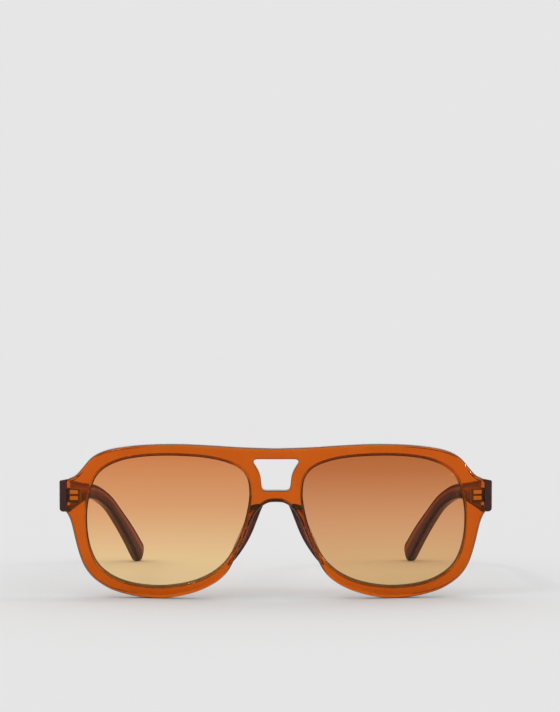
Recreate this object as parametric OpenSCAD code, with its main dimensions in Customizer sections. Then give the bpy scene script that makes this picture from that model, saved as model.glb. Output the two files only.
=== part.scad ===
// Aviator sunglasses: acetate front with a double bridge, two tinted lenses,
// glued nose pads, five-barrel hinges and curved temples with a wire core.
// Open and resting on a table: X across the face, Y from the front to the ears, Z up.

/* [Front] */
// Distance across the outer faces of the two temples, mm
overall_w = 145; // [143:0.5:147]
// Thickness of the acetate front, mm
front_t = 4.2; // [3.9:0.1:4.6]
// Radius of the spherical bend of the front, mm
curve_r = 260; // [240:5:320]
// Lean of the front, top forward, degrees
front_lean = 4.6; // [3:0.1:6]
// Thickness of the pieces glued behind the rims as nose pads, mm
pad_depth = 5.4; // [4:0.1:6]

/* [Lenses] */
// Lens thickness, mm
lens_t = 2.0; // [1.6:0.1:2.4]
// Depth of the groove that holds the lens edge, mm
groove_depth = 0.9; // [0.6:0.1:1.1]

/* [Hinges] */
// Radius of the hinge barrel, mm
barrel_r = 1.35; // [1.2:0.05:1.45]
// Height of the five barrels together, mm
hinge_h = 4.6; // [4:0.1:6]
// Radius of the hinge screw, mm
screw_r = 0.70; // [0.55:0.05:0.75]

/* [Temples] */
// Height of the temple beside the hinge, mm
temple_h = 10.2; // [9:0.1:11]
// Thickness of the temple, mm
temple_t = 3.8; // [3.4:0.1:4.2]
// Downward slope of the temple towards the ear, degrees
temple_slope = 2.5; // [1.5:0.1:3.5]

/* [Hidden] */
$fn = 64;
steps = 4;                    // straight steps between two points of a curve
centre_v = 27;                // height of the middle of the bend, up the front
lean_y = centre_v * sin(front_lean);
foot_w = curve_r - sqrt(curve_r * curve_r - 40 * 40 - centre_v * centre_v);
front_z = -foot_w * sin(front_lean);
fit_gap = 0.02;               // between a lens and its groove
end_gap = 0.10;               // between the front and the temple's end
lens_front = 1.2;             // from the face of the front to the face of the lens
hinge_x = 67.2 + (overall_w - 145) / 2;
hinge_v = 33;
hinge_behind = 15.9;          // from the middle of the front's face, along the bend's axis
hinge_z = front_z + hinge_v * cos(front_lean) + hinge_behind * sin(front_lean);
tip_r = 4.0;                  // rounding of the temple's end, which stands on the table
tip_at = 127.2;
tip_low = (tip_r - hinge_z + tip_at * sin(temple_slope)) / cos(temple_slope);
// the length from the hinge's axis at the bridge's face to the end of the tip
hinge_from_face = lean_y - hinge_v * sin(front_lean) + hinge_behind * cos(front_lean);
tip_end = hinge_from_face + tip_at * cos(temple_slope) + tip_low * sin(temple_slope) + tip_r;
mid_y = (tip_end - 0.82) / 2; // moves the origin under the middle of the whole
front_y = lean_y - mid_y;
hinge_y = hinge_from_face - mid_y;
knuckle_gap = 0.04;
knuckle_h = (hinge_h - 4 * knuckle_gap) / 5;
plate_t = 1.05;
anchor_t = 3.0;               // depth of the front's plate, sunk into the acetate
hinge_up = 0.4;               // middle of the barrels above the middle of the temple
acetate = [0.74, 0.31, 0.03];
dark_acetate = [0.33, 0.18, 0.15];
tint = [0.80, 0.55, 0.35, 0.6];
steel = [0.72, 0.72, 0.70];

// ---- curves through points ----
function blend(a, b, c, d, t) =
    0.5 * (2 * b + (c - a) * t + (2 * a - 5 * b + 4 * c - d) * t * t
           + (3 * b - a - 3 * c + d) * t * t * t);
function ring_curve(p, n) =
    let (m = len(p))
    [for (i = [0 : m - 1]) for (j = [0 : n - 1])
        blend(p[(i + m - 1) % m], p[i], p[(i + 1) % m], p[(i + 2) % m], j / n)];
function open_curve(p, n) =
    let (m = len(p), e = concat([2 * p[0] - p[1]], p, [2 * p[m - 1] - p[m - 2]]))
    concat([for (i = [1 : m - 1]) for (j = [0 : n - 1])
        blend(e[i - 1], e[i], e[i + 1], e[i + 2], j / n)], [p[m - 1]]);
function flip(p) = [for (i = [len(p) - 1 : -1 : 0]) [-p[i][0], p[i][1]]];
function unit(a) = a / norm(a);
// a closed curve moved outwards by d (points run clockwise)
function grow(p, d) =
    let (m = len(p))
    [for (i = [0 : m - 1])
        let (t = unit(p[(i + 1) % m] - p[(i + m - 1) % m])) p[i] + d * [-t[1], t[0]]];

// ---- outlines of the front, right half, across and up, mm ----
widen = (overall_w - 145) / 2;
brow = [[0, 50.6], [11, 50.9], [22, 51.5], [32, 51.8], [42, 51.5], [50, 50.7], [57, 49.2],
        [61.6, 46.8], [64.8, 43.3], [67.2, 40.8], [70, 39.4]];
end_top = [72.7, 38.5];
end_low = [72.7, 29.6];
rim = [[71.4, 28.5], [70, 27.4], [68.9, 25.4], [68.1, 22.5], [67.3, 19], [66, 14.2],
       [64.4, 10.2], [62, 6.9], [59, 4.5], [55, 2.4], [50, 1], [45, 0.2], [40, 0],
       [36, 0.2], [31.5, 1], [27, 2.3], [22.8, 4.1], [19, 6.5], [16.4, 9.1], [14.7, 11.8],
       [13.4, 14.6], [11.9, 17.8], [10.4, 21.2], [9, 24.8], [7.7, 27.7], [6.2, 30],
       [4.3, 31.8], [2.3, 32.8], [0, 33]];
opening = [[9, 38.5], [9.7, 41.2], [11.6, 43.7], [15, 45.6], [20, 47], [26, 47.8],
           [34, 48.1], [42, 47.8], [49, 46.8], [54, 45.2], [58, 42.8], [60.4, 39.9],
           [61.8, 36], [62.9, 31], [63.2, 26], [62.8, 20.5], [61.7, 15.7], [59.7, 11.5],
           [56.7, 8.5], [52.2, 6.1], [46.6, 4.7], [40, 4.2], [34.5, 4.6], [29.4, 5.6],
           [24.8, 7.2], [20.4, 9.7], [16.8, 13], [14.2, 17], [12.2, 20.9], [10.8, 25],
           [9.7, 29.3], [8.9, 34]];
keyhole = [[0, 47.2], [6, 47.2], [7.2, 46.9], [7.4, 46], [6.5, 44.6], [5.5, 42.7],
           [5, 40.7], [4.8, 38.6], [4.4, 37.3], [3.4, 36.8], [0, 36.8]];

function half_front() =
    concat(open_curve(brow, steps), [end_top, end_low], open_curve(rim, steps));
function whole(h) = concat(h, [for (i = [len(h) - 2 : -1 : 1]) [-h[i][0], h[i][1]]]);
function lens_edge(d) = grow(ring_curve(opening, steps), d);

// ---- frames ----
module in_front() {
    translate([0, front_y, front_z]) rotate([90 + front_lean, 0, 0]) children();
}
module at_hinge() {
    translate([hinge_x, hinge_y, hinge_z]) rotate([-temple_slope, 0, 0]) children();
}
module at_barrels() {
    at_hinge() translate([0, 0, hinge_up]) children();
}
// from the face of the front backwards, between two depths of the bend
module bent(d1, d2) {
    intersection() {
        translate([0, 0, -30]) linear_extrude(31) children();
        difference() {
            translate([0, centre_v, -curve_r]) sphere(curve_r - d1, $fn = 180);
            translate([0, centre_v, -curve_r]) sphere(curve_r - d2, $fn = 180);
        }
    }
}
// everything outboard of the cut between the front and the temple
module outboard(gap) {
    translate([hinge_x + 2.85 + gap, 8.9 - mid_y, hinge_z]) rotate([0, 0, 16])
        translate([0, -20, -60]) cube([70, 180, 100]);
}

// ---- front ----
module front_blank() {
    in_front() bent(0, front_t) polygon(whole(half_front()));
}
module front() {
    color(acetate) difference() {
        front_blank();
        in_front() bent(-1, front_t + 1) {
            for (s = [0, 1]) mirror([s, 0]) polygon(lens_edge(0));
            polygon(whole(open_curve(keyhole, steps)));
        }
        in_front() bent(lens_front, lens_front + lens_t)
            for (s = [0, 1]) mirror([s, 0]) polygon(lens_edge(groove_depth));
        for (s = [0, 1]) mirror([s, 0, 0]) {
            outboard(0);
            at_barrels() front_plate();
        }
    }
}

module lens_left() {
    color(tint) in_front() bent(lens_front + fit_gap, lens_front + lens_t - fit_gap)
        polygon(lens_edge(groove_depth - fit_gap));
}
module lens_right() { mirror([1, 0, 0]) lens_left(); }

// ---- nose pads ----
pad = [[5.2, 30.8], [6.3, 31.3], [7.5, 30.3], [8.5, 28.1], [9.6, 25], [11, 21.4],
       [12.8, 18], [14.8, 15], [15.8, 12.8], [15.2, 11.2], [13.5, 12.2], [11.6, 15.2],
       [9.7, 18.5], [8.1, 21.8], [6.8, 25], [5.7, 28], [5, 29.8]];
pad_side = [[9.5, 0], [11, 2.2], [13.5, 4.4], [17.5, 5.3], [22, 5.4], [26, 4.8],
            [29, 3.4], [31.4, 1.6], [33, 0]];
module nose_pad_left() {
    color(acetate) in_front() intersection() {
        translate([8.6, 22, -4]) rotate([0, 20, 0]) translate([-8.6, -22, -9])
            linear_extrude(13) polygon(ring_curve(pad, steps));
        translate([0, 0, -front_t - 0.15]) rotate([90, 0, 90]) linear_extrude(30)
            polygon(concat([[33, 3], [9.5, 3]],
                [for (q = open_curve(pad_side, steps)) [q[0], -q[1] * pad_depth / 5.4]]));
        translate([0, centre_v, -curve_r]) sphere(curve_r - front_t - 0.01, $fn = 180);
    }
}
module nose_pad_right() { mirror([1, 0, 0]) nose_pad_left(); }

// ---- hinges ----
// the block sunk in the front, square to the bend there
module front_plate() {
    translate([0, -2.7, 0]) rotate([temple_slope + front_lean, 0, 0]) rotate([0, 0, 14.8])
        translate([-2.2, 0.25 - anchor_t, -hinge_h / 2]) cube([3.4, anchor_t, hinge_h]);
}
module knuckle(i) {
    translate([0, 0, -hinge_h / 2 + i * (knuckle_h + knuckle_gap)]) children();
}
module hinge_front_left() {
    color(steel) at_barrels() difference() {
        union() {
            front_plate();
            for (i = [0, 2, 4]) knuckle(i) {
                cylinder(h = knuckle_h, r = barrel_r);
                translate([-barrel_r, -2.75, 0]) cube([2 * barrel_r - 0.6, 2.75, knuckle_h]);
            }
        }
        translate([0, 0, -hinge_h]) cylinder(h = 2 * hinge_h, r = screw_r + fit_gap);
        translate([0, 0, hinge_h / 2 - 0.5]) cylinder(h = 2, r = screw_r + 0.32);
    }
}
module hinge_front_right() { mirror([1, 0, 0]) hinge_front_left(); }

module temple_plate() {
    translate([1.3, 1.7, -hinge_h / 2]) cube([plate_t, 7.6, hinge_h]);
}
module hinge_temple_left() {
    color(steel) at_barrels() difference() {
        union() {
            temple_plate();
            for (i = [1, 3]) knuckle(i) {
                cylinder(h = knuckle_h, r = barrel_r);
                translate([0, 0, 0]) cube([barrel_r + 0.2, 2.4, knuckle_h]);
            }
        }
        translate([0, 0, -hinge_h]) cylinder(h = 2 * hinge_h, r = screw_r + 0.06);
    }
}
module hinge_temple_right() { mirror([1, 0, 0]) hinge_temple_left(); }

module hinge_screw_left() {
    color(steel) at_barrels() difference() {
        union() {
            translate([0, 0, -hinge_h / 2]) cylinder(h = hinge_h, r = screw_r);
            translate([0, 0, hinge_h / 2 - 0.48]) cylinder(h = 0.62, r = screw_r + 0.3);
        }
        translate([-2, -0.14, hinge_h / 2 - 0.14]) cube([4, 0.28, 1]);
    }
}
module hinge_screw_right() { mirror([1, 0, 0]) hinge_screw_left(); }

// ---- temples: distance from the hinge, height, and offset outwards ----
taper = temple_h / 10.2;
// [along, up, height there]
side_line = [[-12, 0, 10.6 * taper], [8, 0, 10.2 * taper], [30, 0.2, 8.6 * taper],
             [55, 0.3, 6.6], [72, 0.3, 5.6], [83, -0.8, 5.4], [95.5, -4.5, 5.5],
             [107.8, -10.9, 6.1], [117.9, -17.3, 7.2], [tip_at, tip_low, 2 * tip_r]];
// [along, out, thickness there]
plan_line = [[-12, 3.5, 1], [8, 3.45, 1], [30, 3.2, 0.97], [55, 2.8, 0.95], [72, 2.1, 0.92],
             [83, -0.2, 0.9], [95.5, -3.6, 0.9], [107.8, -7, 0.9], [117.9, -10.1, 0.9],
             [127.2, -13.1, 0.9], [135, -15.7, 0.9]];
// the two edges of a band of varying width about a line
function band(p, k) =
    let (c = open_curve(p, 6), m = len(c))
    concat(
        [for (i = [0 : m - 1]) edge_of(c, i, m, k)],
        [for (i = [m - 1 : -1 : 0]) edge_of(c, i, m, -k)]);
function edge_of(c, i, m, k) =
    let (a = c[min(i + 1, m - 1)] - c[max(i - 1, 0)], t = unit([a[0], a[1]]))
    [c[i][0] - t[1] * k * c[i][2] / 2, c[i][1] + t[0] * k * c[i][2] / 2];

module side_shape(p) {
    rotate([90, 0, 90]) translate([0, 0, -30]) linear_extrude(60) polygon(band(p, 1));
}
module plan_shape(p, k) {
    translate([0, 0, -60]) linear_extrude(120)
        polygon([for (q = band([for (e = p) [e[0], e[1], e[2] * k]], 1)) [q[1], q[0]]]);
}
module temple_left() {
    color(dark_acetate) difference() {
        intersection() {
            at_hinge() intersection() {
                union() {
                    side_shape(side_line);
                    translate([-30, tip_at, tip_low]) rotate([0, 90, 0])
                        cylinder(h = 60, r = tip_r);
                }
                plan_shape(plan_line, temple_t);
            }
            in_front() translate([0, centre_v, -curve_r]) sphere(curve_r, $fn = 180);
            outboard(end_gap);
        }
        // the lower outer corner beside the front, cut off in line with the front's end
        at_hinge() translate([4.2, -8, -5.3]) rotate([0, -39, 0]) rotate([-5, 0, 0])
            translate([-12, -4, -8]) cube([24, 30, 8]);
        at_barrels() temple_plate();
        at_hinge() wire_shape(0.05);
    }
}
module temple_right() { mirror([1, 0, 0]) temple_left(); }

// ---- wire core of the temple ----
wire_side = [[4, 0, 1], [30, 0.2, 1], [55, 0.3, 1], [72, 0.3, 1], [83, -0.8, 1],
             [95.5, -4.5, 1], [107.8, -10.9, 1], [117.9, -17.3, 1]];
wire_plan = [[4, 2.88, 1], [10, 3.1, 1], [30, 3.2, 1], [55, 2.8, 1], [72, 2.1, 1],
             [83, -0.2, 1], [95.5, -3.6, 1], [107.8, -7, 1], [117.9, -10.1, 1]];
module wire_shape(gap) {
    intersection() {
        side_shape([for (e = wire_side) [e[0], e[1], 2.2 + 2 * gap]]);
        plan_shape(wire_plan, 1 + 2 * gap);
    }
}
module core_wire_left() { color(steel) at_hinge() wire_shape(0); }
module core_wire_right() { mirror([1, 0, 0]) core_wire_left(); }

front();
lens_left();
lens_right();
nose_pad_left();
nose_pad_right();
hinge_front_left();
hinge_front_right();
hinge_temple_left();
hinge_temple_right();
hinge_screw_left();
hinge_screw_right();
temple_left();
temple_right();
core_wire_left();
core_wire_right();
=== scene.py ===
import math

import bmesh
import bpy
import numpy as np
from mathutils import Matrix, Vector
from mathutils.geometry import delaunay_2d_cdt


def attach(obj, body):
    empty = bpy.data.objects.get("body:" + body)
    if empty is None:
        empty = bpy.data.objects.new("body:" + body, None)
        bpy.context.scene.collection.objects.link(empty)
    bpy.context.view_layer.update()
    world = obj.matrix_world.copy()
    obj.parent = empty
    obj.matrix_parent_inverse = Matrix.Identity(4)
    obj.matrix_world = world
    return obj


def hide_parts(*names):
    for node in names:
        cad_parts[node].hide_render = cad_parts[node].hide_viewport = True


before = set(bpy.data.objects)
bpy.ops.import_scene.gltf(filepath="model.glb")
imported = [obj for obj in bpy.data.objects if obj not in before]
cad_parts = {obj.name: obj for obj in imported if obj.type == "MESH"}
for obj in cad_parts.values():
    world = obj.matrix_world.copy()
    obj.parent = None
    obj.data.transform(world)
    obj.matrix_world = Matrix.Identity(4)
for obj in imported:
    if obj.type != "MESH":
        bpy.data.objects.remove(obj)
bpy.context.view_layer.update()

MM = 0.001

# ------------------------------------------------------------------ the shape's numbers, in mm
LEAN = math.radians(4.6)      # the front leans forward at the top
SLOPE = math.radians(2.5)     # the temples slope down to the ears
R = 260.0                     # bend of the front
T = 4.2                       # thickness of the front
CV = 27.0                     # height of the middle of the bend
FOOT = R - math.sqrt(R * R - 40 * 40 - CV * CV)
LEAN_Y = CV * math.sin(LEAN)
FRONT_Z = -FOOT * math.sin(LEAN)
HINGE_X = 67.2
HINGE_Z = FRONT_Z + 33 * math.cos(LEAN) + 15.9 * math.sin(LEAN)
HINGE_FACE = LEAN_Y - 33 * math.sin(LEAN) + 15.9 * math.cos(LEAN)
TIP_R = 4.0
TIP_AT = 127.2
TIP_LOW = (TIP_R - HINGE_Z + TIP_AT * math.sin(SLOPE)) / math.cos(SLOPE)
MID_Y = (HINGE_FACE + TIP_AT * math.cos(SLOPE) + TIP_LOW * math.sin(SLOPE) + TIP_R - 0.82) / 2
FRONT_Y = LEAN_Y - MID_Y
HINGE_Y = HINGE_FACE - MID_Y
MITRE_Y = 8.9 - MID_Y
MITRE_X = HINGE_X + 2.85
MITRE = math.radians(16)
LENS_FRONT, LENS_T, GROOVE, FIT = 1.2, 2.0, 0.9, 0.02

V = np.array([0, -math.sin(LEAN), math.cos(LEAN)])
N = np.array([0, math.cos(LEAN), math.sin(LEAN)])
P0 = np.array([0, FRONT_Y, FRONT_Z])
HINGE = np.array([HINGE_X, HINGE_Y, HINGE_Z])
HK = np.array([0, math.sin(SLOPE), math.cos(SLOPE)])
HT = np.array([0, math.cos(SLOPE), -math.sin(SLOPE)])
HX = np.array([1.0, 0, 0])

BROW = [[0, 50.6], [11, 50.9], [22, 51.5], [32, 51.8], [42, 51.5], [50, 50.7], [57, 49.2],
    [61.6, 46.8], [64.8, 43.2], [67.2, 40.6], [70, 39.2]]
RIM = [[71.4, 29.1], [70, 27.7], [68.9, 25.4], [68.1, 22.5], [67.3, 19], [66, 14.2],
    [64.4, 10.2], [62, 6.9], [59, 4.5], [55, 2.4], [50, 1], [45, 0.2], [40, 0], [36, 0.2],
    [31.5, 1], [27, 2.3], [22.8, 4.1], [19, 6.5], [16.4, 9.1], [14.7, 11.8], [13.4, 14.6],
    [11.9, 17.8], [10.4, 21.2], [9, 24.8], [7.7, 27.7], [6.2, 30], [4.3, 31.8], [2.3, 32.8],
    [0, 33]]
OPENING = [[9, 38.5], [9.7, 41.2], [11.6, 43.7], [15, 45.6], [20, 47], [26, 47.8], [34, 48.1],
    [42, 47.8], [49, 46.8], [54, 45.2], [58, 42.8], [60.4, 39.9], [61.8, 36], [62.9, 31],
    [63.2, 26], [62.8, 20.5], [61.7, 15.7], [59.7, 11.5], [56.7, 8.5], [52.2, 6.1],
    [46.6, 4.7], [40, 4.2], [34.5, 4.6], [29.4, 5.6], [24.8, 7.2], [20.4, 9.7], [16.8, 13],
    [14.2, 17], [12.2, 20.9], [10.8, 25], [9.7, 29.3], [8.9, 34]]
KEYHOLE = [[0, 47.2], [6, 47.2], [7.2, 46.9], [7.4, 46], [6.5, 44.6], [5.5, 42.7], [5, 40.7],
    [4.8, 38.6], [4.4, 37.3], [3.4, 36.8], [0, 36.8]]
# along, up, height
SIDE = [[-12, 0, 10.6], [8, 0, 10.2], [30, 0.2, 8.6], [55, 0.3, 6.6], [72, 0.3, 5.6],
        [83, -0.8, 5.4], [95.5, -4.5, 5.5], [107.8, -10.9, 6.1], [117.9, -17.3, 7.2],
        [TIP_AT, TIP_LOW, 2 * TIP_R]]
# along, out, thickness
PLAN = [[-12, 3.5, 3.8], [8, 3.45, 3.8], [30, 3.2, 3.69], [55, 2.8, 3.61], [72, 2.1, 3.5],
        [83, -0.2, 3.42], [95.5, -3.6, 3.42], [107.8, -7, 3.42], [117.9, -10.1, 3.42],
        [127.2, -13.1, 3.42], [135, -15.7, 3.42]]


# ------------------------------------------------------------------ curves
def spline(points, n, closed=False):
    p = np.array(points, float)
    if closed:
        e = np.vstack([p[-1], p, p[0], p[1]])
    else:
        e = np.vstack([2 * p[0] - p[1], p, 2 * p[-1] - p[-2]])
    out = []
    for i in range(1, len(e) - 2):
        a, b, c, d = e[i - 1], e[i], e[i + 1], e[i + 2]
        for j in range(n):
            t = j / n
            out.append(0.5 * (2 * b + (c - a) * t + (2 * a - 5 * b + 4 * c - d) * t * t
                              + (3 * b - a - 3 * c + d) * t ** 3))
    if not closed:
        out.append(e[-2])
    return np.array(out)


def smooth_line(p, passes, closed=False):
    """Softens a dense line so that its offsets stay clean; an open line keeps its ends."""
    p = p.copy()
    for _ in range(passes):
        if closed:
            p = 0.25 * np.roll(p, 1, 0) + 0.5 * p + 0.25 * np.roll(p, -1, 0)
        else:
            q = p.copy()
            q[1:-1] = 0.25 * p[:-2] + 0.5 * p[1:-1] + 0.25 * p[2:]
            p = q
    return p


def even(p, count=None, step=None, closed=False):
    """The line p with points evenly spaced along it."""
    q = np.vstack([p, p[:1]]) if closed else p
    s = np.concatenate([[0], np.cumsum(np.linalg.norm(np.diff(q, axis=0), axis=1))])
    if count is None:
        count = max(4, int(round(s[-1] / step)))
    t = np.linspace(0, s[-1], count + 1 if closed else count)
    if closed:
        t = t[:-1]
    return np.stack([np.interp(t, s, q[:, k]) for k in range(q.shape[1])], 1)


def left_of(p, closed=False):
    """Unit normals to the left of a line in the plane."""
    if closed:
        d = np.roll(p, -1, 0) - np.roll(p, 1, 0)
    else:
        d = np.gradient(p, axis=0)
    d = d / np.linalg.norm(d, axis=1)[:, None]
    return np.stack([-d[:, 1], d[:, 0]], 1)


def inside(poly, q):
    """Which of the points q lie in the closed line poly."""
    x, y = q[:, 0][:, None], q[:, 1][:, None]
    x1, y1 = poly[:, 0][None], poly[:, 1][None]
    x2, y2 = np.roll(poly[:, 0], -1)[None], np.roll(poly[:, 1], -1)[None]
    with np.errstate(divide="ignore", invalid="ignore"):
        cross = ((y1 > y) != (y2 > y)) & (x < (x2 - x1) * (y - y1) / (y2 - y1) + x1)
    return cross.sum(1) % 2 == 1


def near(poly, q, d):
    """Which of the points q are within d of the line's points."""
    out = np.zeros(len(q), bool)
    for k in range(0, len(q), 500):
        dd = ((q[k:k + 500, None] - poly[None]) ** 2).sum(2).min(1)
        out[k:k + 500] = dd < d * d
    return out


def bend(u, v, depth):
    """How far behind the front's first plane a point lies, at a depth below the bent face."""
    return R - np.sqrt((R - depth) ** 2 - u * u - (v - CV) ** 2)


def place(u, v, w):
    """From the front's own plane to the row's frame, mm."""
    return P0 + np.stack([u, 0 * u, 0 * u], -1) + np.multiply.outer(v, V) + np.multiply.outer(w, N)


def face_normal(u, v, w):
    s = np.stack([u, v - CV, w - R], -1)
    return s / np.linalg.norm(s, axis=-1)[..., None]


def turn(n):
    """A direction in the front's own axes, in the row's frame."""
    return (np.stack([n[..., 0], 0 * n[..., 0], 0 * n[..., 0]], -1)
            + n[..., 1][..., None] * V + n[..., 2][..., None] * N)


# ------------------------------------------------------------------ meshes
class Skin:
    """Collects patches with their own normals and makes one mesh of them."""

    def __init__(self):
        self.co, self.no, self.ed, self.faces = [], [], [], []

    def add(self, co, no, faces, edge=0.0):
        base = sum(len(c) for c in self.co)
        co = np.asarray(co, float).reshape(-1, 3)
        self.co.append(co)
        self.no.append(np.asarray(no, float).reshape(-1, 3))
        self.ed.append(np.broadcast_to(np.asarray(edge, float), (len(co),)))
        self.faces += [tuple(base + i for i in f) for f in faces]

    def strip(self, rings, normals, closed=True, flip=False, edge=None):
        """Rings of the same number of points, joined in order; edge is one value per ring."""
        n = len(rings[0])
        faces = []
        for k in range(len(rings) - 1):
            for i in range(n if closed else n - 1):
                j = (i + 1) % n
                f = (k * n + i, k * n + j, (k + 1) * n + j, (k + 1) * n + i)
                faces.append(f[::-1] if flip else f)
        e = 0.0 if edge is None else np.concatenate([np.broadcast_to(x, (n,)) for x in edge])
        self.add(np.vstack(rings), np.vstack(normals), faces, e)

    def build(self, name, material, mirror=False):
        co = np.vstack(self.co) * MM
        no = np.vstack(self.no)
        no = no / np.linalg.norm(no, axis=1)[:, None]
        faces = self.faces
        if mirror:
            co = co * [-1, 1, 1]
            no = no * [-1, 1, 1]
            faces = [f[::-1] for f in faces]
        me = bpy.data.meshes.new(name)
        me.from_pydata(co.tolist(), [], faces)
        me.update()
        # each face is turned the way its normals point
        tri = np.array([[f[0], f[1], f[2]] for f in faces])
        g = np.cross(co[tri[:, 1]] - co[tri[:, 0]], co[tri[:, 2]] - co[tri[:, 0]])
        wrong = (g * no[tri].mean(1)).sum(1) < 0
        if wrong.any():
            faces = [f[::-1] if w else f for f, w in zip(faces, wrong)]
            me = bpy.data.meshes.new(name)
            me.from_pydata(co.tolist(), [], faces)
            me.update()
        me.polygons.foreach_set("use_smooth", [True] * len(me.polygons))
        me.normals_split_custom_set_from_vertices(no.tolist())
        me.attributes.new("edge", "FLOAT", "POINT").data.foreach_set(
            "value", np.concatenate(self.ed).astype(np.float32))
        me.materials.append(material)
        ob = bpy.data.objects.new(name, me)
        bpy.context.scene.collection.objects.link(ob)
        return ob


def fill(loops, step, crease=None):
    """Triangles between closed lines in the plane, with an even grid of points between them.
    The triangles follow the open line crease, if there is one."""
    outer = loops[0]
    lo, hi = outer.min(0), outer.max(0)
    xs, ys = [], []
    row = 0
    y = lo[1] + step / 2
    while y < hi[1]:
        x = np.arange(lo[0] + (step / 2 if row % 2 else 0), hi[0], step)
        xs.append(x)
        ys.append(np.full(len(x), y))
        y += step * 0.87
        row += 1
    q = np.stack([np.concatenate(xs), np.concatenate(ys)], 1)
    q = q[inside(outer, q)]
    for h in loops[1:]:
        q = q[~inside(h, q)]
    for h in list(loops) + ([] if crease is None else [crease]):
        q = q[~near(h, q, step * 0.62)]
    pts = np.vstack(list(loops) + ([] if crease is None else [crease]) + [q])
    edges = []
    at = 0
    for h in loops:
        m = len(h)
        edges += [(at + i, at + (i + 1) % m) for i in range(m)]
        at += m
    if crease is not None:
        edges += [(at + i, at + i + 1) for i in range(len(crease) - 1)]
    co, _, tris, *_ = delaunay_2d_cdt([Vector(p) for p in pts.tolist()], edges, [], 0, 1e-7, False)
    co = np.array([[c.x, c.y] for c in co])
    tris = np.array([t for t in tris if len(t) == 3])
    c = co[tris].mean(1)
    keep = inside(outer, c)
    for h in loops[1:]:
        keep &= ~inside(h, c)
    return co, [tuple(t) for t in tris[keep].tolist()]


# ------------------------------------------------------------------ the front's outline
def right_top():
    p = np.vstack([spline(BROW, 14), np.linspace(BROW[-1], [73.6, 38.1], 12)[1:]])
    p = even(p, step=0.12)
    m = np.vstack([p[1:] * [-1, 1]][0:1])[::-1]
    q = smooth_line(np.vstack([m[-20:], p]), 8)
    return q[20:]


def right_low():
    p = np.vstack([np.linspace([73.6, 31.0], RIM[0], 10)[:-1], spline(RIM, 14)])
    p = even(p, step=0.12)
    m = (p[:-1] * [-1, 1])[::-1]
    q = smooth_line(np.vstack([p, m[:20]]), 8)
    return q[:-20]


TOP_LINE, LOW_LINE = right_top(), right_low()
TOP_LINE[0, 0] = 0
LOW_LINE[-1, 0] = 0
TOP_N, LOW_N = left_of(TOP_LINE), left_of(LOW_LINE)
TOP_N[0] = [0, 1]
LOW_N[-1] = [0, -1]
N_TOP, N_END, N_LOW = 120, 16, 230


def lip(v):
    return 1.15 * (1 - np.clip((np.asarray(v, float) - 29.2) / 1.7, 0, 1)) ** 1.6


def cut_u(v, w):
    y = FRONT_Y - v * math.sin(LEAN) + w * math.cos(LEAN)
    return MITRE_X + lip(v) - math.tan(MITRE) * (y - MITRE_Y)


def brow_r(u):
    """The brow's front edge is rolled over more than the rest of the outline."""
    t = np.clip((50 - np.abs(u)) / 14, 0, 1)
    return 1.15 + 0.75 * t * t * (3 - 2 * t)


def outer_ring(inset, depth, end_inset, roll=None):
    """One closed ring of the front's edge and its outward normals in the plane; roll is how far
    the brow's wider rounding is inset there, for a rounding of 1."""
    def half():
        if roll is None:
            top = TOP_LINE - TOP_N * inset
        else:
            top = TOP_LINE - TOP_N * (roll * brow_r(TOP_LINE[:, 0]))[:, None]
        low = LOW_LINE - LOW_N * inset
        w = bend(69.8, 33.0, depth)
        ct, cl = cut_u(39.6, w) - end_inset, cut_u(28.6, w) - end_inset
        k = np.argmax(top[:, 0] > ct)
        t = (ct - top[k - 1, 0]) / (top[k, 0] - top[k - 1, 0])
        end = top[k - 1] + t * (top[k] - top[k - 1])
        tp = np.vstack([top[:k], end])
        tn = np.vstack([TOP_N[:k], TOP_N[k]])
        inside_low = np.where(low[:, 0] > cl)[0]
        k2 = inside_low.max() + 1
        t = (cl - low[k2, 0]) / (low[k2 - 1, 0] - low[k2, 0])
        start = low[k2] + t * (low[k2 - 1] - low[k2])
        lp = np.vstack([start, low[k2:]])
        ln = np.vstack([LOW_N[k2], LOW_N[k2:]])
        a = even(np.hstack([tp, tn]), count=N_TOP)
        c = even(np.hstack([lp, ln]), count=N_LOW)
        vs = end[1] + (start[1] - end[1]) * np.linspace(0, 1, N_END) ** 0.6
        b = np.stack([cut_u(vs, w) - end_inset, vs], 1)
        b[0], b[-1] = end, start
        return a, b, c
    a, b, c = half()
    bn = np.tile([1.0, 0.0], (len(b), 1))
    right = np.vstack([a[:, :2], b, c[:, :2]])
    norm = np.vstack([a[:, 2:4], bn, c[:, 2:4]])
    left = (right * [-1, 1])[::-1][1:-1]
    ln = (norm * [-1, 1])[::-1][1:-1]
    return np.vstack([right, left]), np.vstack([norm, ln])


HALF = N_TOP + N_END + N_LOW
IS_END = np.zeros(2 * HALF - 2, bool)
IS_END[N_TOP:N_TOP + N_END] = True
IS_END[HALF + N_LOW - 1:HALF + N_LOW - 1 + N_END] = True

HOLE = even(smooth_line(even(spline(OPENING, 14, True), step=0.12, closed=True), 60, True),
            step=0.62, closed=True)
HOLE_N = left_of(HOLE, True)
key_half = spline(KEYHOLE, 10)
KEY = np.vstack([key_half, (key_half * [-1, 1])[::-1][1:-1]])
KEY = even(smooth_line(even(KEY, step=0.06, closed=True), 24, True), step=0.34, closed=True)
KEY_N = left_of(KEY, True)


def quarter(n):
    return [math.pi / 2 * i / n for i in range(n + 1)]


def line_tone(d, width):
    """1 within a band of that width along an edge, easing to 0 past it: the mask of the painted shade
    lines, and of the painted highlight at the lens openings.
    """
    t = np.clip((1.3 * width - d) / (0.55 * width + 1e-6), 0, 1)
    return t * t * (3 - 2 * t)


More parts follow.
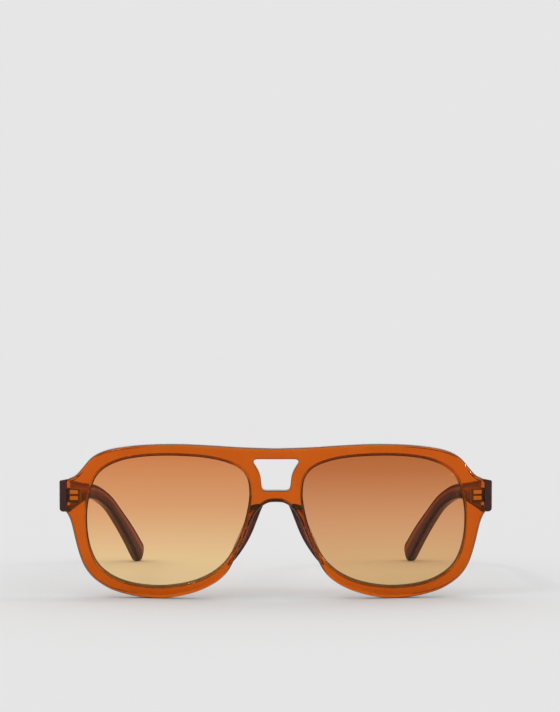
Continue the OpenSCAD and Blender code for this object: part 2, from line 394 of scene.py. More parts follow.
def outer_width(p):
    """How wide the painted shade line along the outer edge is, mm; widest under the arch."""
    u, v = p[:, 0], p[:, 1]
    a = np.abs(u)
    out = np.full(len(p), 0.20)
    low = v < 30
    out = np.where(low & (a > 17), 0.20 + 0.30 * np.clip((a - 34) / 16, 0, 1), out)
    out = np.where(low & (a <= 17), 0.34, out)
    out = np.where(~low & (a > 48), 0.10 + 0.22 * np.clip((a - 52) / 8, 0, 1), out)
    arch = (v > 23) & (v < 35) & (a < 9.5)
    wide = 1.10 - 0.20 * np.clip(a / 8, 0, 1) - np.where(u > 2.5, 0.16, 0.0)
    return np.where(arch, wide, out)


def opening_tone(d, p, n2):
    """The painted shade line round a lens opening, widest at the top, and a painted highlight,
    the bright catch of light at its upper right corner."""
    ang = np.degrees(np.arctan2(-n2[:, 1], -n2[:, 0]))
    width = 0.33 + 0.17 * np.clip(-n2[:, 1], 0, 1) - 0.09 * np.clip(n2[:, 1], 0, 1)
    glint = np.clip(1 - np.abs(ang - 44) / 24, 0, 1) * 1.6
    tone = line_tone(d, width)
    return tone * (1 - np.clip(glint, 0, 1)) - 0.9 * np.clip(glint, 0, 1) * line_tone(d, 0.42)


def front_mesh(material):
    skin = Skin()
    r_f, r_b, e = 1.15, 1.0, 0.12
    ANGLES = quarter(12)

    def ring3(p, depth):
        w = bend(p[:, 0], p[:, 1], depth)
        return place(p[:, 0], p[:, 1], w), w

    def normals(p, w, n2, a, back=False):
        s = face_normal(p[:, 0], p[:, 1], w) * (-1 if back else 1)
        flat = np.hstack([n2, np.zeros((len(n2), 1))])
        return turn(math.sin(a) * s + math.cos(a) * flat)

    def edge(make, rf, rb, groove, tone):
        """From the inner line of the front face round to the inner line of the back face."""
        rings, no, painted_light = [], [], []
        for a in ANGLES[::-1]:
            d, z = rf * (1 - math.cos(a)), rf * (1 - math.sin(a))
            p, n2 = make(d, z)
            q, w = ring3(p, z)
            rings.append(q)
            no.append(normals(p, w, n2, a))
            # painted shade and painted highlight along this edge, as tone gives them
            painted_light.append(tone(d, p, n2))
        first = make(rf, 0)[0]
        stops = [(rf, T - rb)]
        if groove:
            stops = [(rf, LENS_FRONT), (LENS_FRONT + LENS_T, T - rb)]
        skin.strip(rings, no, edge=painted_light)
        for z1, z2 in stops:
            rr, nn = [], []
            for z in (z1, (z1 + z2) / 2, z2):
                p, n2 = make(0, z)
                q, w = ring3(p, z)
                rr.append(q)
                nn.append(normals(p, w, n2, 0))
            skin.strip(rr, nn, edge=[tone(0, p, n2)] * 3)
        rings, no, painted_light = [], [], []
        for a in ANGLES:
            d, z = rb * (1 - math.cos(a)), T - rb * (1 - math.sin(a))
            p, n2 = make(d, z)
            q, w = ring3(p, z)
            rings.append(q)
            no.append(normals(p, w, n2, a, back=True))
            painted_light.append(tone(d, p, n2))
        skin.strip(rings, no, edge=painted_light)
        return first, make(rb, T)[0]

    M = 2 * HALF - 2
    ON_TOP = np.zeros(M, bool)
    ON_TOP[:N_TOP] = True
    ON_TOP[HALF + N_LOW - 1 + N_END:] = True

    def outer(a, back, z=None):
        """A ring of the outer edge at an angle of its rounding, or on its wall at a depth."""
        if z is not None:
            p, n2 = outer_ring(0.0, z, 0.0)
            return p, n2, np.full(M, z), np.zeros(M)
        r = r_b if back else r_f
        d, q = r * (1 - math.cos(a)), r * (1 - math.sin(a))
        small = e * min(1.0, d / 0.3)
        if back:
            p, n2 = outer_ring(d, T - q, small)
            return p, n2, np.full(M, T - q), np.full(M, d)
        p, n2 = outer_ring(d, q, small, roll=1 - math.cos(a))
        rr = np.where(ON_TOP, brow_r(p[:, 0]), r_f)
        return p, n2, rr * (1 - math.sin(a)), rr * (1 - math.cos(a))

    # outer edge: its cut ends get the cut's own normal
    rings, no, painted_light = [], [], []
    prof = ([(a, False, None) for a in ANGLES[::-1]] + [(0, False, z) for z in (2.1, 2.6, 3.1)]
            + [(a, True, None) for a in ANGLES])
    cut_n = np.array([math.cos(MITRE), math.sin(MITRE), 0])
    for a, back, wall in prof:
        p, n2, z, d = outer(a, back, wall)
        w = bend(p[:, 0], p[:, 1], z)
        rings.append(place(p[:, 0], p[:, 1], w))
        no.append(normals(p, w, n2, a, back))
        # painted shade line along the outer edge, kept off the brow's wall and back rounding
        tone = line_tone(d, outer_width(p))
        painted_light.append(np.where(ON_TOP, 0.0, tone) if back or wall is not None else tone)
    # the curved part of the ring and the two cut ends are separate, so the corner stays crisp
    top_a, top_b = N_TOP - 1, N_TOP + N_END
    left_end0 = HALF + N_LOW - 1
    seg_top = list(range(left_end0 + N_END, M)) + list(range(0, N_TOP))
    seg_low = list(range(N_TOP + N_END, HALF + N_LOW - 1))
    seg_r = [N_TOP - 1] + list(range(N_TOP, N_TOP + N_END)) + [N_TOP + N_END]
    seg_l = [left_end0 - 1] + list(range(left_end0, left_end0 + N_END)) + [(left_end0 + N_END) % M]
    for seg in (seg_top, seg_low):
        skin.strip([r[seg] for r in rings], [n[seg] for n in no], closed=False,
                   edge=[t[seg] for t in painted_light])
    # the cut ends are painted deeper all over: painted shade where the temple meets the front
    for seg, sx in ((seg_r, 1), (seg_l, -1)):
        cn = np.tile(cut_n * [sx, 1, 1], (len(seg), 1))
        skin.strip([r[seg] for r in rings], [cn for _ in rings], closed=False,
                   edge=[0.35 + 0.4 * t[seg] for t in painted_light])
    outer_f, outer_b = outer(math.pi / 2, False)[0], outer(math.pi / 2, True)[0]

    loops_f, loops_b = [outer_f], [outer_b]
    for sx in (1, -1):
        def hole(d, z, sx=sx):
            p = HOLE + HOLE_N * d
            n2 = -HOLE_N
            return p * [sx, 1], n2 * [sx, 1]
        f, b = edge(hole, 0.75, 0.6, True, opening_tone)
        loops_f.append(f)
        loops_b.append(b)
        # the groove that holds the lens
        for z, back in ((LENS_FRONT, False), (LENS_FRONT + LENS_T, True)):
            rr, nn = [], []
            for g in (0, GROOVE / 2, GROOVE):
                p = (HOLE + HOLE_N * g) * [sx, 1]
                w = bend(p[:, 0], p[:, 1], z)
                rr.append(place(p[:, 0], p[:, 1], w))
                nn.append(turn(face_normal(p[:, 0], p[:, 1], w) * (1 if back else -1)))
            skin.strip(rr, nn)
        rr, nn = [], []
        for z in (LENS_FRONT, LENS_FRONT + LENS_T / 2, LENS_FRONT + LENS_T):
            p = (HOLE + HOLE_N * GROOVE) * [sx, 1]
            w = bend(p[:, 0], p[:, 1], z)
            rr.append(place(p[:, 0], p[:, 1], w))
            nn.append(turn(np.hstack([-HOLE_N * [sx, 1], np.zeros((len(HOLE), 1))])))
        skin.strip(rr, nn)

    def key(d, z):
        return KEY + KEY_N * d, -KEY_N
    # a painted shade line round the keyhole
    f, b = edge(key, 0.75, 0.75, False, lambda d, p, n2: line_tone(d, 0.16 + 0.14 * np.clip(
        -n2[:, 1], 0, 1)))
    loops_f.append(f)
    loops_b.append(b)

    for loops, z, back in ((loops_f, 0, False), (loops_b, T, True)):
        co, tris = fill(loops, 1.15)
        w = bend(co[:, 0], co[:, 1], z)
        n = turn(face_normal(co[:, 0], co[:, 1], w)) * (-1 if back else 1)
        skin.add(place(co[:, 0], co[:, 1], w), n, tris)
    return skin.build("front_acetate", material)


def lens_mesh(name, material, mirror):
    skin = Skin()
    z1, z2 = LENS_FRONT + FIT, LENS_FRONT + LENS_T - FIT
    bev = 0.12
    g = GROOVE - FIT
    line = HOLE + HOLE_N * g
    inner = HOLE + HOLE_N * (g - bev)
    flat = np.hstack([HOLE_N, np.zeros((len(HOLE), 1))])
    rings, no = [], []
    for p, z, a, back in ((inner, z1, 1.2, False), (line, z1 + bev, 0.3, False),
                          (line, (z1 + z2) / 2, 0, False), (line, z2 - bev, 0.3, True),
                          (inner, z2, 1.2, True)):
        w = bend(p[:, 0], p[:, 1], z)
        rings.append(place(p[:, 0], p[:, 1], w))
        s = face_normal(p[:, 0], p[:, 1], w) * (-1 if back else 1)
        no.append(turn(math.sin(a) * s + math.cos(a) * flat))
    skin.strip(rings, no)
    for z, back in ((z1, False), (z2, True)):
        co, tris = fill([inner], 1.7)
        w = bend(co[:, 0], co[:, 1], z)
        n = turn(face_normal(co[:, 0], co[:, 1], w)) * (-1 if back else 1)
        skin.add(place(co[:, 0], co[:, 1], w), n, tris)
    return skin.build(name, material, mirror)


# ------------------------------------------------------------------ nose pads
def pad_mesh(name, material, mirror):
    """A smooth fin behind the rim: sections across the pad, from its top to its foot."""
    lens_side = spline([[9, 31.8], [9.1, 30.2], [9.4, 28.1], [10.3, 25], [11.8, 21.2],
                        [13.5, 17.6], [15, 14.6], [16, 12.4], [16.6, 10.9]], 10)
    nose_side = spline([[3.7, 32.4], [4.3, 31.2], [5, 29.7], [5.8, 27.6], [6.9, 24.7], [8, 22], [9.4, 19.2],
                        [11.4, 15.9], [13.6, 12.7], [15.7, 10.4]], 10)
    profile = spline([[-0.6, 0], [-0.93, 0.06], [-1, 0.2], [-1, 0.5], [-0.9, 0.8],
                      [-0.5, 0.98], [0.2, 0.99], [0.75, 0.85], [0.95, 0.6], [1, 0.3],
                      [1, 0.08], [0.85, 0]], 5, True)
    # painted shade on the side that faces the nose
    nose_side_shade = np.clip((0.30 - profile[:, 0]) / 0.45, 0, 1)
    K, M = 72, len(profile)
    a = even(lens_side, count=K)
    b = even(nose_side, count=K)
    rings, dark = [], []
    for k in range(K):
        t = k / (K - 1)
        mid, half = (a[k] + b[k]) / 2, (a[k] - b[k]) / 2
        end = math.sqrt(max(0.0, 1 - abs(2 * t - 1) ** (30 if t < 0.5 else 3)))
        rise = max(0.02, 5.35 * math.sin(math.pi * t ** 0.92) ** 0.62)
        low = -0.75 * end
        back = low + (rise - low) * profile[:, 1]
        slide = np.maximum(0.0, back - 0.3) * 0.20
        uv = mid + np.outer(profile[:, 0] * end, half) + np.outer(slide, [1, 0.1])
        w = bend(uv[:, 0], uv[:, 1], T) + back
        rings.append(place(uv[:, 0], uv[:, 1], w))
        # and painted shadow on the top end, down to a slanting line
        top = np.clip((uv[:, 1] - 30.1 - (8.5 - uv[:, 0]) * 0.55) / 0.3 + 0.5, 0, 1)
        dark.append(np.maximum(nose_side_shade, top))
    faces = []
    for k in range(K - 1):
        for m in range(M):
            n = (m + 1) % M
            faces.append((k * M + m, k * M + n, (k + 1) * M + n, (k + 1) * M + m))
    base = K * M
    v = np.vstack(rings + [rings[0].mean(0), rings[-1].mean(0)])
    for m in range(M):
        n = (m + 1) % M
        faces.append((base, n, m))
        faces.append((base + 1, (K - 1) * M + m, (K - 1) * M + n))
    return plain_mesh(name, v, faces, material, mirror, 70, np.concatenate(dark + [[1, 0]]))


def plain_mesh(name, v, faces, material, mirror, angle, edge):
    v = np.asarray(v, float) * MM
    if mirror:
        v = v * [-1, 1, 1]
        faces = [f[::-1] for f in faces]
    me = bpy.data.meshes.new(name)
    me.from_pydata(v.tolist(), [], faces)
    me.update()
    me.attributes.new("edge", "FLOAT", "POINT").data.foreach_set(
        "value", np.asarray(edge, np.float32))
    bm = bmesh.new()
    bm.from_mesh(me)
    bmesh.ops.remove_doubles(bm, verts=bm.verts, dist=1e-7)
    bmesh.ops.recalc_face_normals(bm, faces=bm.faces)
    bm.to_mesh(me)
    bm.free()
    me.polygons.foreach_set("use_smooth", [True] * len(me.polygons))
    me.set_sharp_from_angle(angle=math.radians(angle))
    me.materials.append(material)
    ob = bpy.data.objects.new(name, me)
    bpy.context.scene.collection.objects.link(ob)
    return ob


# ------------------------------------------------------------------ temples
def temple_mesh(name, material, mirror):
    side = spline(SIDE, 16)
    plan = spline(PLAN, 16)

    def line(y):
        return (np.interp(y, side[:, 0], side[:, 1]), np.interp(y, side[:, 0], side[:, 2]),
                np.interp(y, plan[:, 0], plan[:, 1]), np.interp(y, plan[:, 0], plan[:, 2]))

    PER, CORNER = (6, 14, 6, 30), 7
    # painted shade: deep along the section's rounded corners, easing off along the sides
    tone = []
    for c in range(4):
        tone += [1.0 - abs(j / (CORNER - 1) - 0.5) * 0.9 for j in range(CORNER)]
        for j in range(PER[c]):
            f = (j + 1) / (PER[c] + 1)
            t = max(0.0, 0.5 - min(f, 1 - f) * 4)
            if c == 3:
                # up the inner side: painted shade below, a faint painted highlight above, a fine painted
                # highlight stripe near the top, and painted shade again at the top corner
                t = float(np.interp(f, [0, 0.1, 0.4, 0.6, 0.7, 0.76, 0.82, 0.93, 1],
                                    [0.9, 0.45, 0.25, -0.18, -0.25, -1.0, -0.35, -0.2, 0.8]))
            tone.append(t)

    # centre of the front's sphere in the hinge's own axes
    centre = P0 + CV * V + R * N - HINGE
    cx, cy, cz = centre @ HX, centre @ HT, centre @ HK

    def start(x, z):
        ball = cy - np.sqrt(R * R - (x - cx) ** 2 - (z - cz) ** 2)
        my = MITRE_Y + (MITRE_X + lip(z + 34.15) + 0.1 - (HINGE_X + x)) / math.tan(MITRE)
        flat = (my - HINGE_Y - z * math.sin(SLOPE)) / math.cos(SLOPE)
        return np.maximum(ball, flat)

    def section(h, t, corner, low_out, n=CORNER):
        """Rounded rectangle, out and up, from the middle of the inner side, and the same number
        of points whatever its corners."""
        pts = []
        radii = [corner, corner, low_out, corner]
        corners = [(-1, 1), (1, 1), (1, -1), (-1, -1)]
        starts = [math.pi, math.pi / 2, 0, -math.pi / 2]
        for (sx, sz), r, a0 in zip(corners, radii, starts):
            r = min(r, t / 2 * 0.96, h / 2 * 0.96)
            for j in range(n):
                a = a0 - math.pi / 2 * j / (n - 1)
                pts.append((sx * (t / 2 - r) + r * math.cos(a), sz * (h / 2 - r) + r * math.sin(a)))
        pts = np.array(pts)
        # extra points along the straight sides
        out = []
        for c in range(4):
            out.append(pts[c * n:(c + 1) * n])
            p, q = pts[(c + 1) * n - 1], pts[((c + 1) * n) % (4 * n)]
            out.append(np.linspace(p, q, PER[c] + 2)[1:-1])
        return np.vstack(out)

    def corner_at(y):
        s = min(1, max(0, (y + 6) / 18))
        return 0.55 + 0.55 * s, 1.2 - 0.1 * s

    def lift(x, z, y):
        """Beside the front the top edge rises inwards, in line with the front's own outline."""
        s = np.clip((14 - y) / 14, 0, 1)
        return z + 0.42 * s * s * np.clip((5.0 - x) / 2.2, 0, 1.3) * np.clip(z / 5, 0, 1)

    rings = []
    # front block: rings that begin on the front's face and the cut
    c, lo_c = corner_at(-6)
    zc, h, xc, t = line(-6.4)
    base = section(h, t, c, lo_c)
    for inset, back in ((0.34, 0.0), (0.20, 0.045), (0.09, 0.13), (0.02, 0.24), (0.0, 0.36)):
        sec = section(h - 2 * inset, t - 2 * inset, max(0.15, c - inset), lo_c - inset)
        x, z = xc + sec[:, 0], zc + sec[:, 1]
        z = lift(x, z, 0)
        rings.append(np.stack([x, start(x, z) + back, z], 1))
    full = rings[-1][:, 1].max()
    ys = [0.8, 2.0, 3.6] + list(np.arange(5.0, 70, 2.6)) + list(np.arange(70, TIP_AT - 0.6, 1.3))
    y_end = TIP_AT

    def frame_at(y):
        e = 0.6
        a, b = line(y - e), line(y + e)
        d = np.array([b[2] - a[2], 2 * e, b[0] - a[0]])
        d /= np.linalg.norm(d)
        nh = np.array([0, 0, 1.0]) - d[2] * d
        nh /= np.linalg.norm(nh)
        nt = np.cross(d, nh)
        if nt[0] < 0:
            nt = -nt
        return d, nh, nt

    first = rings[-1][:, 1]
    for y in ys:
        zc, h, xc, t = line(y)
        c, lo_c = corner_at(y)
        sec = section(h, t, c, lo_c)
        d, nh, nt = frame_at(y)
        if y < 8:
            s = y / 8
            p = np.stack([xc + sec[:, 0], np.full(len(sec), y), zc + sec[:, 1]], 1)
            lead = first + (8 - first) * max(0.0, (y + 6.0) / 14.0)
            p[:, 1] = np.minimum(8, lead) if y < 4.5 else y + (lead - y) * 0.4
            p[:, 2] = lift(p[:, 0], p[:, 2], y)
        else:
            m = np.array([xc, y, zc])
            p = m + np.outer(sec[:, 0], nt) + np.outer(sec[:, 1], nh)
            p[:, 2] = lift(p[:, 0], p[:, 2], y)
        rings.append(p)
    # the rounded tip
    zc, h, xc, t = line(y_end)
    d, nh, nt = frame_at(y_end - 0.6)
    m = np.array([xc, y_end, zc])
    for j in range(0, 11):
        a = math.pi / 2 * j / 11
        hh, tt = h * math.cos(a), t * (math.cos(a) ** 0.42)
        sec = section(max(hh, 0.2), max(tt, 0.2), 1.1, 1.1)
        rings.append(m + d * (TIP_R * math.sin(a)) + np.outer(sec[:, 0], nt) + np.outer(sec[:, 1], nh))
    M = len(rings[0])
    v = [np.array(r) for r in rings]
    faces = []
    for k in range(len(rings) - 1):
        for i in range(M):
            j = (i + 1) % M
            faces.append((k * M + i, k * M + j, (k + 1) * M + j, (k + 1) * M + i))
    base_i = len(rings) * M
    v.append(np.array([rings[-1].mean(0) + d * 0.02]))
    for i in range(M):
        faces.append((base_i, (len(rings) - 1) * M + i, (len(rings) - 1) * M + (i + 1) % M))
    # the front cap, on the front's bend and on the cut
    loop = rings[0][:, [0, 2]]
    # where the bend and the cut meet on it
    line_x, line_z = [], np.linspace(loop[:, 1].min() + 0.1, loop[:, 1].max() - 0.1, 40)
    for z in line_z:
        x = np.linspace(loop[:, 0].min(), loop[:, 0].max(), 400)
        ball = cy - np.sqrt(R * R - (x - cx) ** 2 - (z - cz) ** 2)
        line_x.append(x[np.argmax(start(x, np.full(400, z)) <= ball + 1e-6)])
    crease = np.stack([line_x, line_z], 1)
    crease = crease[inside(loop, crease) & ~near(loop, crease, 0.12)]
    co, tris = fill([loop], 0.4, crease)
    off = base_i + 1
    cap = np.stack([co[:, 0], start(co[:, 0], co[:, 1]), co[:, 1]], 1)
    v.append(cap)
    faces += [tuple(off + i for i in t3) for t3 in tris]
    v = np.vstack(v)
    w = HINGE + np.outer(v[:, 0], HX) + np.outer(v[:, 1], HT) + np.outer(v[:, 2], HK)
    # painted shade: the tip's end point and the front cap against the front are painted deep
    edge = np.concatenate([np.tile(tone, len(rings)), [0.5], np.full(len(cap), 0.6)])
    return plain_mesh(name, w, faces, material, mirror, 38, edge)


# ------------------------------------------------------------------ materials
def nodes_of(name):
    m = bpy.data.materials.new(name)
    m.use_nodes = True
    nt = m.node_tree
    return m, nt, nt.nodes["Principled BSDF"], nt.nodes["Material Output"]


def add(nt, kind, **kw):
    n = nt.nodes.new(kind)
    for k, val in kw.items():
        setattr(n, k, val)
    return n


def ramp(nt, stops):
    n = add(nt, "ShaderNodeValToRGB")
    e = n.color_ramp.elements
    while len(e) < len(stops):
        e.new(0.5)
    for el, (p, c) in zip(e, stops):
        el.position = p
        el.color = (*c, 1.0)
    return n


def acetate(name, low, high, absorb, density, rough=(0.03, 0.07), trans=1.0, tint=(1, 1, 1, 1),
            scale=70.0, ior=1.49, edge=(0.3, 0.12, 0.08), pale=(1, 1, 1), grow=1.0, spec=0.5):
    """Polished clear plastic: faint cloudy streaks in its colour, faint polishing marks on it,
    colour that deepens with thickness, and painted shade and painted highlights from the edge attribute."""
    m, nt, b, out = nodes_of(name)
    co = add(nt, "ShaderNodeTexCoord")
    mp = add(nt, "ShaderNodeMapping")
    mp.inputs["Scale"].default_value = (1.0, 1.0, 1.6)
    nt.links.new(co.outputs["Object"], mp.inputs["Vector"])
    cloud = add(nt, "ShaderNodeTexNoise")
    cloud.inputs["Scale"].default_value = scale
    cloud.inputs["Detail"].default_value = 4.0
    cloud.inputs["Distortion"].default_value = 0.8
    nt.links.new(mp.outputs["Vector"], cloud.inputs["Vector"])
    cr = ramp(nt, [(0.32, low), (0.68, high)])
    nt.links.new(cloud.outputs["Fac"], cr.inputs["Fac"])
    # painted shade: the colour turns deep where the edge attribute is positive, along the rounded edges;
    # painted highlight: it turns pale where the attribute is negative
    at = add(nt, "ShaderNodeAttribute", attribute_name="edge")
    up = add(nt, "ShaderNodeMath", operation="MULTIPLY", use_clamp=True)
    up.inputs[1].default_value = grow
    nt.links.new(at.outputs["Fac"], up.inputs[0])
    dn = add(nt, "ShaderNodeMath", operation="MULTIPLY", use_clamp=True)
    dn.inputs[1].default_value = -1.0
    nt.links.new(at.outputs["Fac"], dn.inputs[0])
    m1 = add(nt, "ShaderNodeMix", data_type="RGBA", blend_type="MIX")
    nt.links.new(up.outputs["Value"], m1.inputs["Factor"])
    nt.links.new(cr.outputs["Color"], m1.inputs["A"])
    m1.inputs["B"].default_value = (*edge, 1.0)
    m2 = add(nt, "ShaderNodeMix", data_type="RGBA", blend_type="MIX")
    nt.links.new(dn.outputs["Value"], m2.inputs["Factor"])
    nt.links.new(m1.outputs["Result"], m2.inputs["A"])
    m2.inputs["B"].default_value = (*pale, 1.0)
    nt.links.new(m2.outputs["Result"], b.inputs["Base Color"])
    marks = add(nt, "ShaderNodeTexNoise")
    marks.inputs["Scale"].default_value = 900.0
    marks.inputs["Detail"].default_value = 3.0
    nt.links.new(co.outputs["Object"], marks.inputs["Vector"])
    rr = add(nt, "ShaderNodeMapRange")
    rr.inputs["To Min"].default_value = rough[0]
    rr.inputs["To Max"].default_value = rough[1]
    nt.links.new(marks.outputs["Fac"], rr.inputs["Value"])
    nt.links.new(rr.outputs["Result"], b.inputs["Roughness"])
    bump = add(nt, "ShaderNodeBump")
    bump.inputs["Strength"].default_value = 0.03
    bump.inputs["Distance"].default_value = 0.00002
    nt.links.new(marks.outputs["Fac"], bump.inputs["Height"])
    nt.links.new(bump.outputs["Normal"], b.inputs["Normal"])
    b.inputs["IOR"].default_value = ior
    b.inputs["Specular IOR Level"].default_value = spec
    b.inputs["Transmission Weight"].default_value = trans
    b.inputs["Specular Tint"].default_value = tint
    if density:
        va = add(nt, "ShaderNodeVolumeAbsorption")
        va.inputs["Color"].default_value = (*absorb, 1.0)
        va.inputs["Density"].default_value = density
        nt.links.new(va.outputs["Volume"], out.inputs["Volume"])
    return m


def lens_material(name, stops):
    """A tint that fades down the lens, by height."""
    m, nt, b, out = nodes_of(name)
    co = add(nt, "ShaderNodeTexCoord")
    xyz = add(nt, "ShaderNodeSeparateXYZ")
    nt.links.new(co.outputs["Object"], xyz.inputs["Vector"])
    mr = add(nt, "ShaderNodeMapRange")
    mr.inputs["From Min"].default_value = 0.004
    mr.inputs["From Max"].default_value = 0.049
    nt.links.new(xyz.outputs["Z"], mr.inputs["Value"])
    cr = ramp(nt, stops)
    nt.links.new(mr.outputs["Result"], cr.inputs["Fac"])
    # the coating is a touch uneven
    no = add(nt, "ShaderNodeTexNoise")
    no.inputs["Scale"].default_value = 26.0
    no.inputs["Detail"].default_value = 2.0
    nt.links.new(co.outputs["Object"], no.inputs["Vector"])
    mx = add(nt, "ShaderNodeMix", data_type="RGBA", blend_type="MULTIPLY")
    mx.inputs["Factor"].default_value = 0.03
    nt.links.new(cr.outputs["Color"], mx.inputs["A"])
    nt.links.new(no.outputs["Color"], mx.inputs["B"])
    nt.links.new(mx.outputs["Result"], b.inputs["Base Color"])
    b.inputs["Roughness"].default_value = 0.0
    b.inputs["IOR"].default_value = 1.50
    b.inputs["Specular IOR Level"].default_value = 0.1
    b.inputs["Specular Tint"].default_value = (0.45, 0.35, 0.30, 1)
    b.inputs["Transmission Weight"].default_value = 1.0
    return m


def steel(name, colour, rough, streak=(1, 1, 14)):
    m, nt, b, out = nodes_of(name)
    co = add(nt, "ShaderNodeTexCoord")
    mp = add(nt, "ShaderNodeMapping")
    mp.inputs["Scale"].default_value = streak
    nt.links.new(co.outputs["Object"], mp.inputs["Vector"])
    no = add(nt, "ShaderNodeTexNoise")
    no.inputs["Scale"].default_value = 900.0
    no.inputs["Detail"].default_value = 3.0
    nt.links.new(mp.outputs["Vector"], no.inputs["Vector"])
    cr = ramp(nt, [(0.3, tuple(0.82 * c for c in colour)), (0.7, colour)])
    nt.links.new(no.outputs["Fac"], cr.inputs["Fac"])
    nt.links.new(cr.outputs["Color"], b.inputs["Base Color"])
    rr = add(nt, "ShaderNodeMapRange")
    rr.inputs["To Min"].default_value = rough[0]
    rr.inputs["To Max"].default_value = rough[1]
    nt.links.new(no.outputs["Fac"], rr.inputs["Value"])
    nt.links.new(rr.outputs["Result"], b.inputs["Roughness"])
    bump = add(nt, "ShaderNodeBump")
    bump.inputs["Strength"].default_value = 0.25
    bump.inputs["Distance"].default_value = 0.00002
    nt.links.new(no.outputs["Fac"], bump.inputs["Height"])
    nt.links.new(bump.outputs["Normal"], b.inputs["Normal"])
    b.inputs["Metallic"].default_value = 1.0
    return m


# in each acetate below, edge is the colour of its painted shade lines and pale, where given, the colour of
# its painted highlights
AMBER = acetate("amber_acetate", (0.93, 0.77, 0.40), (1.0, 0.90, 0.50),
                (0.940, 0.650, 0.06), 1400.0, tint=(1.0, 0.60, 0.25, 1),
                edge=(0.008, 0.0007, 0.0005), spec=0.07)
PADS = acetate("amber_pad_acetate", (0.90, 0.76, 0.66), (1.0, 0.92, 0.84),
               (0.93, 0.60, 0.20), 260.0, tint=(1.0, 0.80, 0.70, 1), edge=(0.105, 0.024, 0.028),
               spec=0.3)
BROWN = acetate("brown_acetate", (0.118, 0.044, 0.045), (0.165, 0.060, 0.058),
                (0.80, 0.45, 0.25), 420.0, rough=(0.05, 0.09), trans=0.25,
                tint=(1.0, 0.85, 0.82, 1), scale=55.0, edge=(0.012, 0.003, 0.004),
                pale=(0.46, 0.13, 0.10), spec=0.10)
# the side that lies against the head is a shaded copy of the brown: painted shade, a touch deeper in colour
# and with no reflection at all, and a brighter painted highlight stripe
INNER = acetate("brown_acetate_inner_side", (0.112, 0.040, 0.037), (0.160, 0.056, 0.050),
                (0.80, 0.45, 0.25), 420.0, rough=(0.05, 0.09), trans=0.25,
                tint=(0.4, 0.25, 0.22, 1), scale=55.0, edge=(0.012, 0.003, 0.004),
                pale=(0.60, 0.18, 0.14), spec=0.0)
# one tint for both lenses, but the right lens's stops are paler than the left's: painted light and shade
# for how the light falls on each lens
LENS_L = lens_material("tint_left", [(0.0, (0.86, 0.57, 0.275)), (0.107, (0.852, 0.549, 0.262)),
                                     (0.511, (0.785, 0.372, 0.169)),
                                     (0.865, (0.625, 0.197, 0.059)), (1.0, (0.574, 0.166, 0.043))])
LENS_R = lens_material("tint_right", [(0.0, (1.0, 0.74, 0.39)), (0.218, (1.0, 0.70, 0.36)),
                                      (0.585, (0.888, 0.434, 0.196)),
                                      (0.865, (0.801, 0.311, 0.115)), (1.0, (0.762, 0.25, 0.083))])
STEEL = steel("hinge_steel", (0.62, 0.60, 0.58), (0.22, 0.38))


def plate_steel(name):
    """The hinge half in the front: on the face of its sunk block, painted shade, with two bright
    fields of painted highlight between dark bars."""
    m = steel(name, (0.62, 0.60, 0.58), (0.30, 0.42))
    nt = m.node_tree
    b = nt.nodes["Principled BSDF"]
    was = b.inputs["Base Color"].links[0].from_socket

    def op(kind, a, c, third=None):
        n = add(nt, "ShaderNodeMath", operation=kind)
        for i, val in enumerate((a, c, third)):
            if val is None:
                continue
            if isinstance(val, (int, float)):
                n.inputs[i].default_value = val
            else:
                nt.links.new(val, n.inputs[i])
        return n.outputs["Value"]

    co = add(nt, "ShaderNodeTexCoord")
    xyz = add(nt, "ShaderNodeSeparateXYZ")
    nt.links.new(co.outputs["Object"], xyz.inputs["Vector"])
    x = op("ABSOLUTE", xyz.outputs["X"], None)
    z = xyz.outputs["Z"]
    mid = (HINGE_Z + 0.4 + 5 * math.sin(SLOPE)) * MM
    fields = op("COMPARE", op("ABSOLUTE", op("SUBTRACT", z, mid), None), 0.00100, 0.00066)
    across = op("COMPARE", x, 0.06755, 0.00138)
    bright = op("MULTIPLY", fields, across)
    face = op("LESS_THAN", xyz.outputs["Y"], (HINGE_Y - 3.4) * MM)
    # painted shade over the face of the sunk block, with two painted highlight fields
    m1 = add(nt, "ShaderNodeMix", data_type="RGBA")
    nt.links.new(bright, m1.inputs["Factor"])
    m1.inputs["A"].default_value = (0.10, 0.05, 0.05, 1)
    m1.inputs["B"].default_value = (0.97, 0.74, 0.62, 1)
    m2 = add(nt, "ShaderNodeMix", data_type="RGBA")
    nt.links.new(face, m2.inputs["Factor"])
    nt.links.new(was, m2.inputs["A"])
    nt.links.new(m1.outputs["Result"], m2.inputs["B"])
    nt.links.new(m2.outputs["Result"], b.inputs["Base Color"])
    return m


SHADE_PAINTED_PLATE_STEEL = plate_steel("sunk_plate_steel")
WIRE = steel("wire_steel", (0.50, 0.46, 0.42), (0.3, 0.5), (14, 1, 14))

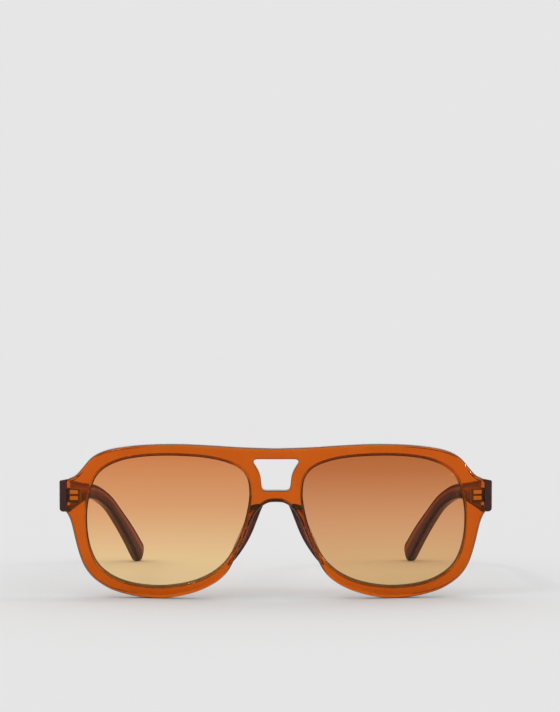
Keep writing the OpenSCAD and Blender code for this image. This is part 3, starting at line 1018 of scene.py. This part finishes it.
# ------------------------------------------------------------------ pieces
front = front_mesh(AMBER)
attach(front, "front_frame")
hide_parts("front")
for side, mirror, tint in (("left", False, LENS_L), ("right", True, LENS_R)):
    lens = lens_mesh("lens_disc_" + side, tint, mirror)
    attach(lens, "front_frame")
    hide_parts("lens_" + side)
    pad = pad_mesh("pad_form_" + side, PADS, mirror)
    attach(pad, "front_frame")
    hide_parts("nose_pad_" + side)
    arm = temple_mesh("temple_acetate_" + side, BROWN, mirror)
    arm.data.materials.append(INNER)
    inward = 1.0 if mirror else -1.0
    for poly in arm.data.polygons:
        if poly.normal.x * inward > 0.35:
            poly.material_index = 1
    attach(arm, side + "_arm")
    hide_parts("temple_" + side)
    for n in ("hinge_front_", "hinge_temple_", "hinge_screw_"):
        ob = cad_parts[n + side]
        ob.data.materials.clear()
        ob.data.materials.append(SHADE_PAINTED_PLATE_STEEL if n == "hinge_front_" else STEEL)
        bv = ob.modifiers.new("edges", "BEVEL")
        bv.width = 0.00007
        bv.segments = 2
        bv.limit_method = "ANGLE"
        bv.angle_limit = math.radians(40)
    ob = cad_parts["core_wire_" + side]
    ob.data.materials.clear()
    ob.data.materials.append(WIRE)

# ------------------------------------------------------------------ floor, lights, camera
# a wide pale floor under an even white sky, so that floor and background run together
m, nt, b, out = nodes_of("pale_floor")
b.inputs["Base Color"].default_value = (0.930, 0.930, 0.930, 1)
b.inputs["Roughness"].default_value = 1.0
b.inputs["Specular IOR Level"].default_value = 0.0
me = bpy.data.meshes.new("floor")
me.from_pydata([(-60, -60, 0), (60, -60, 0), (60, 60, 0), (-60, 60, 0)], [], [(0, 1, 2, 3)])
me.update()
me.materials.append(m)
floor = bpy.data.objects.new("floor", me)
bpy.context.scene.collection.objects.link(floor)

SKY = 0.791
world = bpy.data.worlds.new("studio")
bpy.context.scene.world = world
world.use_nodes = True
world.node_tree.nodes["Background"].inputs["Color"].default_value = (1, 1, 1, 1)
world.node_tree.nodes["Background"].inputs["Strength"].default_value = SKY


def lamp(name, kind, at, to, **kw):
    li = bpy.data.lights.new(name, kind)
    for k, val in kw.items():
        setattr(li, k, val)
    ob = bpy.data.objects.new(name, li)
    ob.location = at
    ob.rotation_euler = (Vector(to) - Vector(at)).to_track_quat("-Z", "Y").to_euler()
    bpy.context.scene.collection.objects.link(ob)
    return ob


# a soft light high up in front on the left, and a low even light from the right
lamp("soft_box", "SUN", (-1.5, -1.35, 2.1), (0, 0, 0), energy=0.12, angle=math.radians(5))
lamp("from_right", "SUN", (2.0, 0.05, 0.85), (0, 0, 0), energy=0.24, angle=math.radians(5.5))

cam = bpy.data.cameras.new("camera")
cam_ob = bpy.data.objects.new("camera", cam)
bpy.context.scene.collection.objects.link(cam_ob)
CAM_D, CAM_H, FOCAL = 723.0, 81.0, 2184.0
YAW = math.radians(0.4)
SIDEWAYS = (280 - 276.0) / FOCAL * CAM_D
cam_ob.location = ((-CAM_D * math.sin(YAW) + SIDEWAYS * math.cos(YAW)) * MM,
                   (-MID_Y - CAM_D * math.cos(YAW) - SIDEWAYS * math.sin(YAW)) * MM, CAM_H * MM)
cam_ob.rotation_euler = (math.pi / 2, 0, -YAW)
cam.sensor_width = 36.0
cam.lens = FOCAL * 36.0 / 712.0
cam.clip_start, cam.clip_end = 0.01, 100
bpy.context.scene.camera = cam_ob
bpy.context.scene.view_settings.view_transform = "Standard"
